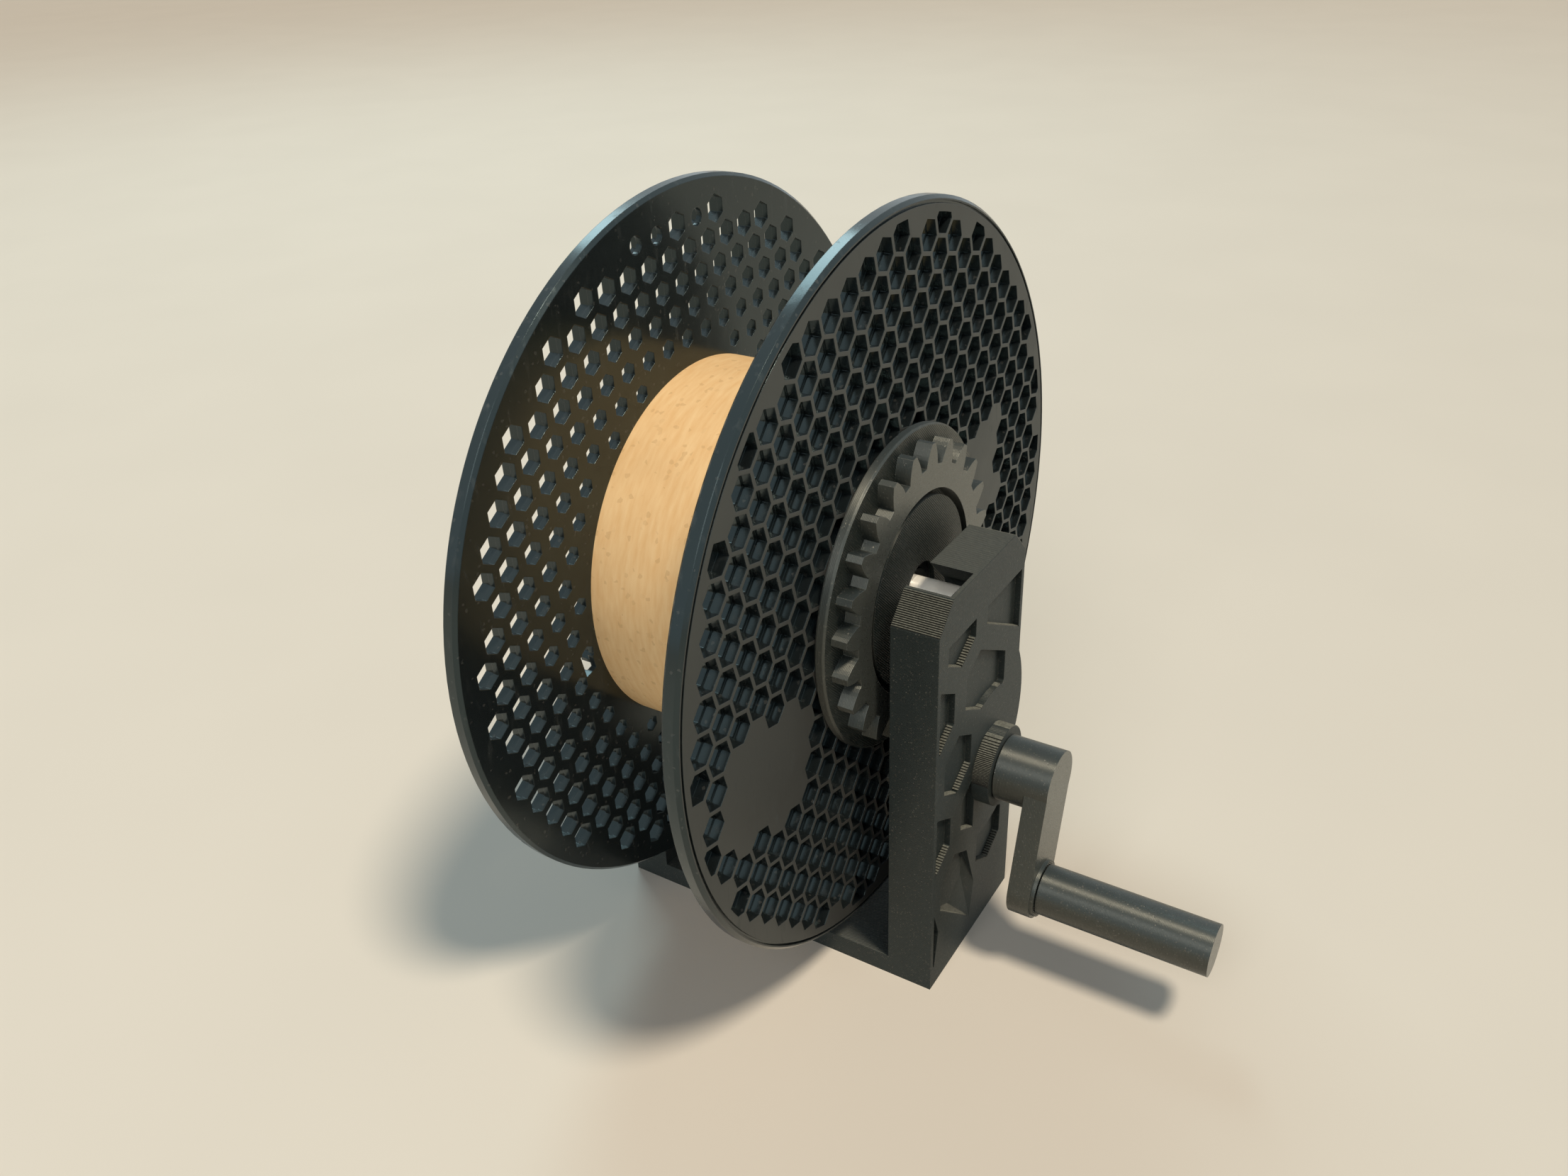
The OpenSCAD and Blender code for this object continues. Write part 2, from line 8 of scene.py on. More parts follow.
import bmesh
import bpy
from mathutils import Matrix, Vector


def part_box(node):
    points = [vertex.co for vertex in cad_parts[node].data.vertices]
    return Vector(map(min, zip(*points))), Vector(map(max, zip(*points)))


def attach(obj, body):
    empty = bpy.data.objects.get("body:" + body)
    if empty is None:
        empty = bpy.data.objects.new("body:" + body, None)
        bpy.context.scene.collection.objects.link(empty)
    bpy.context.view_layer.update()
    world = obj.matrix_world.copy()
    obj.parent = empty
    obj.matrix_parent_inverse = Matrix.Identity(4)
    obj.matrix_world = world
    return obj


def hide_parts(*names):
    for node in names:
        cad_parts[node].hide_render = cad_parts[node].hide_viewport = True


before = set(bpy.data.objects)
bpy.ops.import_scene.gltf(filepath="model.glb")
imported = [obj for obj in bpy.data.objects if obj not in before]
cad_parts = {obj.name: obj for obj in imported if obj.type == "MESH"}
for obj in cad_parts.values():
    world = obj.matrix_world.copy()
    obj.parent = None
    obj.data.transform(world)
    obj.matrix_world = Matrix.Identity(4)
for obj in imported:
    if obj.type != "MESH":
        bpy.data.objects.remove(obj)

LOG = logging.getLogger("rewinder")
MM = 0.001
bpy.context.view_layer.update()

Span = tuple[float, float]
Triple = tuple[float, float, float]
Colour = Triple
Ring = tuple[float, list[Span]]
Socket = bpy.types.NodeSocket
Feed = Socket | float | tuple[float, ...]

DEEP_GREY: Colour = (0.012, 0.017, 0.017)
# Nearly all values of a noise lie in this span.
NOISE_SPAN: Span = (0.3, 0.7)
# The middle of a random colour, whose numbers go from 0 to 1.
CHANCE_MIDDLE: Triple = (0.5, 0.5, 0.5)
# The places of the mix node's two colours and of its result.
MIX_FIRST, MIX_SECOND, MIX_RESULT = 6, 7, 2
EDGE_SAMPLES = 4


class Axis(Enum):
    """A row axis, by its place in a vector."""

    X = 0
    Y = 1
    Z = 2

    @property
    def others(self) -> tuple[int, int]:
        """The places of the two other axes."""
        return tuple(k for k in range(3) if k != self.value)


class Grade(Enum):
    """A steel surface: name, colour, roughness, the axis its marks lie across, share of metal."""

    # The rod's near-white colour with a small share of metal is a painted reflection: it paints the steel's
    # bright sheen into its colour.
    ROD = ("turned_rod", (0.97, 0.95, 0.88), 0.4, Axis.Y, 0.15)
    RACE = ("polished_race", (0.66, 0.66, 0.67), 0.12, Axis.Y, 1.0)
    SHEET = ("pressed_shield", (0.5, 0.5, 0.51), 0.34, Axis.X, 1.0)
    PLATED = ("plated_screw", (0.46, 0.46, 0.47), 0.3, Axis.Y, 1.0)


class Graph:
    """A material's node tree, with a short call for each kind of node used here."""

    def __init__(self, name: str) -> None:
        """Start a material that holds a principled shader.

        Args:
            name: The material's name.
        """
        self.material = bpy.data.materials.new(name)
        self.material.use_nodes = True
        self.tree = self.material.node_tree
        self.shader = self.tree.nodes["Principled BSDF"]
        self.coords = self.tree.nodes.new("ShaderNodeTexCoord")

    def feed(self, socket: Socket, value: Feed) -> None:
        """Link a socket to another one, or give it a fixed value.

        Args:
            socket: The input to set.
            value: An output socket, a number or a colour.
        """
        if isinstance(value, Socket):
            self.tree.links.new(value, socket)
        else:
            socket.default_value = value

    def node(self, kind: str, feeds: dict[str | int, Feed], **settings: object) -> bpy.types.Node:
        """Add a node.

        Args:
            kind: Blender's name for the node.
            feeds: What goes into its inputs, by name or place.
            settings: The node's own settings.

        Returns:
            The new node.
        """
        made = self.tree.nodes.new(kind)
        for key, value in settings.items():
            setattr(made, key, value)
        for key, value in feeds.items():
            self.feed(made.inputs[key], value)
        return made

    def math(self, operation: str, a: Feed, b: Feed = 0.0, clamp: bool = False) -> Socket:
        """A sum on one or two numbers.

        Args:
            operation: Blender's name for the sum.
            a: The first number.
            b: The second number.
            clamp: Whether the result stays from 0 to 1.

        Returns:
            The result.
        """
        made = self.node("ShaderNodeMath", {0: a, 1: b}, operation=operation, use_clamp=clamp)
        return made.outputs[0]

    def spread(self, value: Feed, low: float, high: float, out: Span = (0, 1)) -> Socket:
        """A number taken from one range to another, and kept inside it.

        Args:
            value: The number.
            low: The value that gives the first result.
            high: The value that gives the second result.
            out: The two results.

        Returns:
            The new number.
        """
        feeds = {"Value": value, "From Min": low, "From Max": high,
                 "To Min": out[0], "To Max": out[1]}
        return self.node("ShaderNodeMapRange", feeds).outputs["Result"]

    def blend(self, factor: Feed, a: Feed, b: Feed) -> Socket:
        """A colour between two colours.

        Args:
            factor: 0 for the first colour, 1 for the second.
            a: The first colour.
            b: The second colour.

        Returns:
            The mixed colour.
        """
        made = self.node("ShaderNodeMix", {"Factor": factor}, data_type="RGBA")
        for place, colour in ((MIX_FIRST, a), (MIX_SECOND, b)):
            self.feed(made.inputs[place], (*colour, 1.0) if isinstance(colour, tuple) else colour)
        return made.outputs[MIX_RESULT]

    def place(self, scale: Triple = (1, 1, 1)) -> Socket:
        """The point on the piece in metres, stretched along its axes.

        Args:
            scale: The stretch along each axis.

        Returns:
            The point as a vector.
        """
        feeds = {"Vector": self.coords.outputs["Object"], "Scale": scale}
        return self.node("ShaderNodeMapping", feeds).outputs[0]

    def parts(self, vector: Socket) -> list[Socket]:
        """The three numbers of a vector."""
        return list(self.node("ShaderNodeSeparateXYZ", {0: vector}).outputs)

    def noise(self, scale: float, stretch: Triple = (1, 1, 1), detail: float = 3.0) -> Socket:
        """Soft random variation.

        Args:
            scale: How many patches fit in a metre.
            stretch: The stretch along each axis.
            detail: How many finer layers it has.

        Returns:
            A number around one half.
        """
        feeds = {"Vector": self.place(stretch), "Scale": scale, "Detail": detail}
        return self.node("ShaderNodeTexNoise", feeds).outputs[0]

    def vary(self, noise: Socket, out: Span = (0, 1)) -> Socket:
        """A number that follows a noise.

        Args:
            noise: The noise.
            out: The number at its low and at its high places.

        Returns:
            The number.
        """
        return self.spread(noise, *NOISE_SPAN, out)

    def grains(self, scale: float, share: float) -> tuple[Socket, Socket]:
        """Small grains at random places.

        Args:
            scale: How many grains fit in a metre.
            share: The share of them that shows.

        Returns:
            1 on a grain that shows and 0 elsewhere, and each grain's own random colour.
        """
        cells = self.node("ShaderNodeTexVoronoi", {"Vector": self.place(), "Scale": scale})
        chance = cells.outputs["Color"]
        return self.spread(self.parts(chance)[0], 1 - share, 1 - share / 2), chance

    def ridges(self, value: Socket, pitch: float) -> Socket:
        """Rounded ridges at equal steps.

        Args:
            value: The place across the ridges, in metres.
            pitch: The step from ridge to ridge, in metres.

        Returns:
            A number from 0 in the valleys to 1 on the crests.
        """
        wave = self.math("SINE", self.math("MULTIPLY", value, 2 * math.pi / pitch))
        return self.spread(wave, -1, 1)

    def bump(self, height: Socket, depth: float, normal: Socket | None = None) -> Socket:
        """A surface raised by a number.

        Args:
            height: The height from 0 to 1.
            depth: The real height at 1, in metres.
            normal: A surface to raise further, if there is one.

        Returns:
            The new normal.
        """
        made = self.node("ShaderNodeBump", {"Height": height, "Distance": depth, "Strength": 1.0})
        if normal is not None:
            self.feed(made.inputs["Normal"], normal)
        return made.outputs[0]

    def soft_edges(self, radius: float) -> Socket:
        """A normal that rounds off sharp edges by a radius in metres."""
        return self.node("ShaderNodeBevel", {"Radius": radius}, samples=EDGE_SAMPLES).outputs[0]

    def finish(self, **inputs: Feed) -> bpy.types.Material:
        """Feed the shader and hand over the material.

        Args:
            inputs: The shader's inputs, with _ for each space.

        Returns:
            The finished material.
        """
        for key, value in inputs.items():
            self.feed(self.shader.inputs[key.replace("_", " ")], value)
        return self.material


@dataclass(frozen=True)
class PrintedFinish:
    """Dark sparkling plastic laid down in layers by a printer."""

    name: str
    layers: Axis
    bed_plane: float
    index: float = 1.45
    colour: Colour = (0.028, 0.036, 0.036)
    tone: Span = (0.93, 1.07)
    tone_scale: float = 260.0
    # Painted shade for the grooves between layers and roads.
    painted_valley_shade: Colour = (0.007, 0.009, 0.009)
    painted_valley_share: float = 0.55
    roughness: Span = (0.46, 0.54)
    rough_scale: float = 1400.0
    tint: Colour = (0.97, 1.0, 0.92)
    flake: Colour = (0.06, 0.059, 0.052)
    flake_share: float = 0.05
    flake_lean: float = 0.4
    flake_scale: float = 3400.0
    flat_from: Span = (0.96, 0.99)
    # Painted reflection: a paler colour for the smooth face that lay on the bed.
    bed_painted_sheen: Colour = (0.038, 0.043, 0.041)
    bed_reach: Span = (0.3 * MM, 0.2 * MM)
    bed_polish: float = 0.2
    layer_height: float = 0.4 * MM
    layer_relief: float = 0.035 * MM
    road_width: float = 0.55 * MM
    road_relief: float = 0.11 * MM
    wobble: float = 0.12 * MM
    wobble_scale: float = 900.0
    grain_relief: float = 0.012 * MM
    grain_scale: float = 5200.0
    edge_radius: float = 0.22 * MM
    drawn_gloss: float = 0.9
    drawn_lean: float = 0.03

    def zones(self, g: Graph) -> tuple[Socket, Socket, Socket]:
        """Where the print lay on the bed, and the ridges elsewhere.

        Args:
            g: The material's node tree.

        Returns:
            1 where it lay on the bed, the height of the roads on flat faces and the height of
            the layers on walls.
        """
        point = g.parts(g.coords.outputs["Object"])
        rise = point[self.layers.value]
        facing = g.parts(g.coords.outputs["Normal"])[self.layers.value]
        top = g.spread(g.math("ABSOLUTE", facing), *self.flat_from)
        across = g.math("ADD", *(point[k] for k in self.layers.others))
        wobble = g.math("MULTIPLY", g.noise(self.wobble_scale, detail=1.0), self.wobble)
        layer = g.ridges(g.math("ADD", rise, wobble), self.layer_height)
        road = g.ridges(g.math("ADD", across, wobble), self.road_width * math.sqrt(2))
        near = g.math("ABSOLUTE", g.math("SUBTRACT", rise, self.bed_plane))
        bed = g.math("MULTIPLY", top, g.spread(near, *self.bed_reach))
        roads = g.math("MULTIPLY", road, g.math("SUBTRACT", top, bed, clamp=True))
        walls = g.math("MULTIPLY", layer, g.math("SUBTRACT", 1.0, top))
        return bed, roads, walls

    def flakes(self, g: Graph) -> tuple[Socket, Socket]:
        """Small flakes that each lean their own way.

        Args:
            g: The material's node tree.

        Returns:
            1 on a flake and 0 elsewhere, and how the flakes lean.
        """
        mask, cells = g.grains(self.flake_scale, self.flake_share)
        chance = g.node("ShaderNodeTexWhiteNoise", {"Vector": cells}).outputs["Color"]
        lean = g.node("ShaderNodeVectorMath", {0: chance, 1: CHANCE_MIDDLE}, operation="SUBTRACT")
        feeds = {0: lean.outputs[0], "Scale": g.math("MULTIPLY", mask, self.flake_lean)}
        return mask, g.node("ShaderNodeVectorMath", feeds, operation="SCALE").outputs[0]

    def material(self) -> bpy.types.Material:
        """Build the node material.

        Returns:
            The material.
        """
        g = Graph(self.name)
        bed, roads, walls = self.zones(g)
        # The grooves between roads and layers, away from the bed face, which get painted shade below.
        groove_shade = g.math("SUBTRACT", 1.0, g.math("ADD", roads, walls))
        groove_shade = g.math("SUBTRACT", groove_shade, bed, clamp=True)
        flake, lean = self.flakes(g)
        flake = g.math("MULTIPLY", flake, g.math("SUBTRACT", 1.0, bed))
        feeds = {"Color": (*self.colour, 1.0), "Value": g.vary(g.noise(self.tone_scale), self.tone)}
        base = g.node("ShaderNodeHueSaturation", feeds).outputs[0]
        # Painted shade darkens the grooves.
        base = g.blend(g.math("MULTIPLY", groove_shade, self.painted_valley_share), base, self.painted_valley_shade)
        # The flakes are mixed in, and the face that lay on the bed gets a paler colour, a painted reflection
        # of the ground.
        base = g.blend(bed, g.blend(flake, base, self.flake), self.bed_painted_sheen)
        rough = g.vary(g.noise(self.rough_scale), self.roughness)
        rough = g.math("SUBTRACT", rough, g.math("MULTIPLY", bed, self.bed_polish))
        drawn = {k: 1.0 if k == self.layers.value else self.drawn_lean for k in range(3)}
        lie = g.node("ShaderNodeCombineXYZ", drawn).outputs[0]
        normal = g.bump(walls, self.layer_relief, g.soft_edges(self.edge_radius))
        normal = g.bump(roads, self.road_relief, normal)
        normal = g.bump(g.noise(self.grain_scale, detail=1.0), self.grain_relief, normal)
        normal = g.node("ShaderNodeVectorMath", {0: normal, 1: lean}, operation="ADD").outputs[0]
        normal = g.node("ShaderNodeVectorMath", {0: normal}, operation="NORMALIZE").outputs[0]
        return g.finish(Base_Color=base, Roughness=rough, Normal=normal, Tangent=lie,
                        IOR=self.index, Specular_Tint=(*self.tint, 1.0),
                        Anisotropic=self.drawn_gloss)


@dataclass(frozen=True)
class StepPaintedLight:
    """The same plastic on the small stair steps, with painted highlights on the up-facing treads and painted
    shade on the risers.
    """

    name: str = "steps_painted_light"
    # Painted highlight colour for the treads and painted shade colour for the risers.
    painted_tread_highlight: Colour = (0.22, 0.23, 0.2)
    highlight_facing: Span = (0.6, 0.9)
    painted_riser_shade: Colour = (0.014, 0.015, 0.014)
    highlight_strength: Span = (0.45, 1.0)
    highlight_scale: float = 1600.0
    roughness: Span = (0.3, 0.42)
    rough_scale: float = 2400.0
    specular: float = 0.4

    def material(self) -> bpy.types.Material:
        """Build the node material.

        Returns:
            The material.
        """
        g = Graph(self.name)
        # Painted highlight on the up-facing treads and painted shade on the risers; the highlight's strength
        # varies at random.
        up = g.spread(g.parts(g.coords.outputs["Normal"])[Axis.Z.value], *self.highlight_facing)
        highlight_strength = g.vary(g.noise(self.highlight_scale, detail=2.0), self.highlight_strength)
        base = g.blend(g.math("MULTIPLY", up, highlight_strength), self.painted_riser_shade, self.painted_tread_highlight)
        rough = g.vary(g.noise(self.rough_scale), self.roughness)
        return g.finish(Base_Color=base, Roughness=rough, Specular_IOR_Level=self.specular)


@dataclass(frozen=True)
class MouldedFinish:
    """Glossy black plastic from a mould, with matt rib tops, flow marks and scuffs."""

    name: str
    rib_side: float
    rib_plane: float = 33.15 * MM
    rib_reach: Span = (0.2 * MM, 0.1 * MM)
    rib_facing: Span = (0.9, 0.98)
    rib_tone: Colour = (0.036, 0.0345, 0.032)
    rib_dullness: float = 0.28
    colour: Colour = (0.010, 0.0135, 0.015)
    tint: Colour = (0.72, 0.95, 1.0)
    specular: float = 0.6
    roughness: Span = (0.14, 0.24)
    flow_scale: float = 55.0
    flow_relief: float = 0.03 * MM
    scuff: Colour = (0.045, 0.05, 0.052)
    scuff_share: float = 0.35
    scuff_scale: float = 420.0
    scuff_stretch: Triple = (1.0, 1.0, 0.25)
    scuff_from: Span = (0.58, 0.72)
    scuff_dullness: float = 0.1
    dust: Colour = (0.12, 0.12, 0.115)
    dust_share: float = 0.25
    dust_scale: float = 1500.0
    dust_amount: float = 0.02
    grain_relief: float = 0.004 * MM
    grain_scale: float = 2600.0
    edge_radius: float = 0.28 * MM

    def rib_tops(self, g: Graph) -> Socket:
        """Where the outer face of the ribs and the rim is.

        Args:
            g: The material's node tree.

        Returns:
            1 on that face and 0 elsewhere.
        """
        vectors = (g.coords.outputs[kind] for kind in ("Normal", "Object"))
        values = (g.parts(vector)[Axis.Y.value] for vector in vectors)
        out, depth = (g.math("MULTIPLY", value, self.rib_side) for value in values)
        high = g.spread(depth, *(self.rib_plane - reach for reach in self.rib_reach))
        return g.math("MULTIPLY", g.spread(out, *self.rib_facing), high)

    def material(self) -> bpy.types.Material:
        """Build the node material.

        Returns:
            The material.
        """
        g = Graph(self.name)
        flow = g.noise(self.flow_scale, detail=5.0)
        dust, _ = g.grains(self.dust_scale, self.dust_amount)
        scuffs = g.noise(self.scuff_scale, self.scuff_stretch, detail=4.0)
        scuffs = g.spread(scuffs, *self.scuff_from)
        base = g.blend(g.math("MULTIPLY", scuffs, self.scuff_share), self.colour, self.scuff)
        base = g.blend(g.math("MULTIPLY", dust, self.dust_share), base, self.dust)
        ribs = self.rib_tops(g)
        base = g.blend(ribs, base, self.rib_tone)
        rough = g.vary(flow, self.roughness)
        rough = g.math("ADD", rough, g.math("MULTIPLY", scuffs, self.scuff_dullness))
        rough = g.math("ADD", rough, g.math("MULTIPLY", ribs, self.rib_dullness))
        normal = g.bump(flow, self.flow_relief, g.soft_edges(self.edge_radius))
        normal = g.bump(g.noise(self.grain_scale, detail=1.0), self.grain_relief, normal)
        return g.finish(Base_Color=base, Roughness=rough, Normal=normal,
                        Specular_Tint=(*self.tint, 1.0), Specular_IOR_Level=self.specular)


@dataclass(frozen=True)
class KraftFinish:
    """Brown board, with fibres, flecks and soft clouds."""

    name: str = "kraft_board"
    colour: Colour = (0.83, 0.545, 0.265)
    pale: Colour = (0.9, 0.645, 0.35)
    dark: Colour = (0.57, 0.355, 0.165)
    fibre_scale: float = 700.0
    fibre_stretch: Triple = (0.22, 1.0, 0.22)
    fibre_relief: float = 0.06 * MM
    cloud_scale: float = 38.0
    cloud_from: Span = (0.45, 0.75)
    cloud_share: float = 0.3
    fleck_scale: float = 900.0
    fleck_amount: float = 0.05
    fleck_share: float = 0.35
    rough_from: Span = (0.2, 0.8)
    roughness: Span = (0.78, 0.92)
    specular: float = 0.25

    def material(self) -> bpy.types.Material:
        """Build the node material.

        Returns:
            The material.
        """
        g = Graph(self.name)
        fibres = g.noise(self.fibre_scale, self.fibre_stretch, detail=6.0)
        cloud = g.noise(self.cloud_scale, detail=4.0)
        flecks, _ = g.grains(self.fleck_scale, self.fleck_amount)
        base = g.blend(g.vary(fibres), self.colour, self.pale)
        cloud = g.math("MULTIPLY", g.spread(cloud, *self.cloud_from), self.cloud_share)
        base = g.blend(cloud, base, self.dark)
        base = g.blend(g.math("MULTIPLY", flecks, self.fleck_share), base, self.dark)
        rough = g.spread(fibres, *self.rough_from, self.roughness)
        normal = g.bump(fibres, self.fibre_relief)
        return g.finish(Base_Color=base, Roughness=rough, Normal=normal,
                        Specular_IOR_Level=self.specular)


@dataclass(frozen=True)
class SteelFinish:
    """Steel with fine marks from how it was worked."""

    grade: Grade
    mark_scale: float = 420.0
    mark_across: float = 14.0
    mark_along: float = 0.6
    mark_relief: float = 0.006 * MM
    mark_rough: Span = (0.75, 1.3)
    stain_scale: float = 120.0
    stain_from: Span = (0.5, 0.75)
    stain_share: float = 0.3
    stain_shade: float = 0.7
    edge_radius: float = 0.12 * MM
    ring_pitch: float = 0.85 * MM
    ring_relief: float = 0.012 * MM
    ring_gloss: float = 0.85
    ring_turn: float = 0.25

    def material(self) -> bpy.types.Material:
        """Build the node material.

        Returns:
            The material.
        """
        name, colour, roughness, across, metallic = self.grade.value
        g = Graph(name)
        stretch = tuple(self.mark_across if axis is across else self.mark_along for axis in Axis)
        marks = g.noise(self.mark_scale, stretch, detail=4.0)
        stain = g.spread(g.noise(self.stain_scale), *self.stain_from)
        base = g.blend(g.math("MULTIPLY", stain, self.stain_share), colour,
                       tuple(self.stain_shade * c for c in colour))
        rough = g.vary(marks, tuple(share * roughness for share in self.mark_rough))
        normal = g.bump(marks, self.mark_relief, g.soft_edges(self.edge_radius))
        if self.grade is Grade.ROD:
            along = g.parts(g.coords.outputs["Object"])[Axis.Y.value]
            normal = g.bump(g.ridges(along, self.ring_pitch), self.ring_relief, normal)
            lie = g.node("ShaderNodeTangent", {}, direction_type="RADIAL", axis="Y").outputs[0]
            g.finish(Anisotropic=self.ring_gloss, Anisotropic_Rotation=self.ring_turn, Tangent=lie)
        return g.finish(Base_Color=base, Roughness=rough, Normal=normal, Metallic=metallic)


@dataclass(frozen=True)
class ClothFinish:
    """The pale matt ground that the object stands on."""

    name: str = "pale_ground"
    colour: Colour = (0.7, 0.665, 0.605)
    shade: float = 0.93
    shade_share: float = 0.25
    shade_scale: float = 9.0
    shade_from: Span = (0.35, 0.65)
    roughness: float = 0.92
    specular: float = 0.15

    def material(self) -> bpy.types.Material:
        """Build the node material.

        Returns:
            The material.
        """
        g = Graph(self.name)
        tone = g.spread(g.noise(self.shade_scale, detail=2.0), *self.shade_from)
        base = g.blend(g.math("MULTIPLY", tone, self.shade_share), self.colour,
                       tuple(self.shade * c for c in self.colour))
        return g.finish(Base_Color=base, Roughness=self.roughness, Specular_IOR_Level=self.specular)


def dress(material: bpy.types.Material, *nodes: str) -> None:
    """Give CAD nodes one material.

    Args:
        material: The finish.
        nodes: The nodes' names.
    """
    for name in nodes:
        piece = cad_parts[name]
        piece.data.materials.clear()
        piece.data.materials.append(material)
        LOG.info("dressed %s in %s", name, material.name)


def add_piece(name: str, work: bmesh.types.BMesh, material: bpy.types.Material, body: str) -> bpy.types.Object:
    """Turn a worked mesh into a piece that moves with a body.

    Args:
        name: The piece's name.
        work: The mesh, which is used up.
        material: Its finish.
        body: The body that carries it.

    Returns:
        The new piece.
    """
    bmesh.ops.recalc_face_normals(work, faces=work.faces)
    mesh = bpy.data.meshes.new(name)
    work.to_mesh(mesh)
    work.free()
    mesh.materials.append(material)
    piece = bpy.data.objects.new(name, mesh)
    bpy.context.scene.collection.objects.link(piece)
    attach(piece, body)
    LOG.info("built %s with %d faces", name, len(mesh.polygons))
    return piece


@dataclass
class LayerSteps:
    """The stair steps that printing leaves on the stand's slopes."""

    layer: float = 0.4 * MM
    inset: float = 0.03 * MM
    root: float = 0.1 * MM
    shortest: float = 1.5 * MM
    least_insets: int = 4
    round_turn: float = math.radians(20)
    flat_turn: float = math.radians(0.5)
    merge: float = 1e-6
    slope_up: Span = (0.2, 0.97)
    ramp_lean: float = 0.1
    curve_up: Span = (0.05, 0.99)
    curve_lean: float = 0.01
    digits: int = 6

    def joins(self, face: bmesh.types.BMFace) -> list[bmesh.types.BMEdge]:
        """The edges over which a round surface carries a face on."""
        return [edge for edge in face.edges if edge.calc_face_angle(math.pi) < self.round_turn]

    def slopes(self, work: bmesh.types.BMesh) -> list[list[Vector]]:
        """The flat faces that lean back, and those of the low ramp.

        Args:
            work: The stand's mesh.

        Returns:
            The corners of each face.
        """
        low, high = self.slope_up
        leaning = [face for face in work.faces if low < face.normal.z < high]
        flat = [face for face in leaning
                if not self.joins(face) or abs(face.normal.y) > self.ramp_lean]
        return [[corner.co.copy() for corner in face.verts] for face in flat]

    def curves(self, work: bmesh.types.BMesh) -> list[list[Vector]]:
        """The round slopes that bulge, each as the corners of its narrow faces.

        Args:
            work: The stand's mesh.

        Returns:
            The corners of each round slope.
        """
        low, high = self.curve_up
        left = [face for face in work.faces
                if low < face.normal.z < high and abs(face.normal.y) < self.curve_lean]
        found = []
        while left:
            group, queue, bulges = [], [left.pop()], True
            while queue:
                face = queue.pop()
                group.append(face)
                for edge in self.joins(face):
                    bulges = bulges and edge.is_convex
                    for other in [other for other in edge.link_faces if other in left]:
                        left.remove(other)
                        queue.append(other)
            if bulges and len(group) > 1:
                found.append([corner.co.copy() for face in group for corner in face.verts])
        return found

    def level(self, corners: list[Vector], z: float) -> list[Vector]:
        """Where a face crosses a height.

        Args:
            corners: The face's corners.
            z: The height.

        Returns:
            The two ends of the crossing, or nothing.
        """
        ends = []
        for a, b in zip(corners, corners[1:] + corners[:1]):
            if (a.z - z) * (b.z - z) < 0:
                ends.append(a.lerp(b, (z - a.z) / (b.z - a.z)))
        ends.sort(key=lambda p: (p.y, p.x))
        return ends if len(ends) == 2 else []

    def step(self, work: bmesh.types.BMesh, foot: list[Vector], head: list[Vector]) -> None:
        """Add one step that rises from one level line and runs back to the next.

        Args:
            work: The mesh that takes it.
            foot: The two ends of the lower line.
            head: The two ends of the upper line.
        """
        rise = Vector((0, 0, head[0].z - foot[0].z))
        inward = (head[0] - foot[0] - rise) + (head[1] - foot[1] - rise)
        back = inward.normalized() * self.root
        rows = []
        for k in (0, 1):
            along = (foot[1 - k] - foot[k]).normalized() * self.inset
            out, far = foot[k] + along, head[k] + along + back
            rows.append([work.verts.new(p) for p in (out, far - rise, far, out + rise)])
        near, other = rows
        work.faces.new(near)
        work.faces.new(other[::-1])
        for k in range(4):
            work.faces.new((near[k], other[k], other[k - 3], near[k - 3]))

    def terrace(self, work: bmesh.types.BMesh, corners: list[Vector]) -> None:
        """Cover one slope with steps.

        Args:
            work: The mesh that takes them.
            corners: The slope's corners.
        """
        low, high = (pick(p.z for p in corners) for pick in (min, max))
        if high - low < self.shortest:
            return
        for k in range(math.ceil(low / self.layer), math.floor(high / self.layer)):
            foot, head = (self.level(corners, z * self.layer) for z in (k, k + 1))
            if foot and head and (foot[1] - foot[0]).length > self.least_insets * self.inset:
                self.step(work, foot, head)

    def crown(self, work: bmesh.types.BMesh, corners: list[Vector]) -> None:
        """Cover one round slope with steps.

        Args:
            work: The mesh that takes them.
            corners: The corners of its narrow faces.
        """
        ends = [pick(p.y for p in corners) for pick in (min, max)]
        profile = sorted({(round(p.z, self.digits), round(p.x, self.digits)) for p in corners})
        lines = []
        for (low, start), (high, stop) in zip(profile, profile[1:]):
            for k in range(math.ceil(low / self.layer), math.ceil(high / self.layer)):
                z = k * self.layer
                x = start + (stop - start) * (z - low) / (high - low)
                lines.append([Vector((x, y, z)) for y in ends])
        for foot, head in zip(lines, lines[1:]):
            self.step(work, foot, head)

    def build(self, material: bpy.types.Material) -> None:
        """Build the steps of the whole stand.

        Args:
            material: The steps' material, with its painted highlights and painted shade.
        """
        stand, work = bmesh.new(), bmesh.new()
        stand.from_mesh(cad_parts["frame"].data)
        bmesh.ops.remove_doubles(stand, verts=stand.verts, dist=self.merge)
        bmesh.ops.dissolve_limit(stand, angle_limit=self.flat_turn, verts=stand.verts,
                                 edges=stand.edges)
        for corners in self.slopes(stand):
            self.terrace(work, corners)
        for corners in self.curves(stand):
            self.crown(work, corners)
        stand.free()
        add_piece("stand_layer_steps", work, material, "stand")


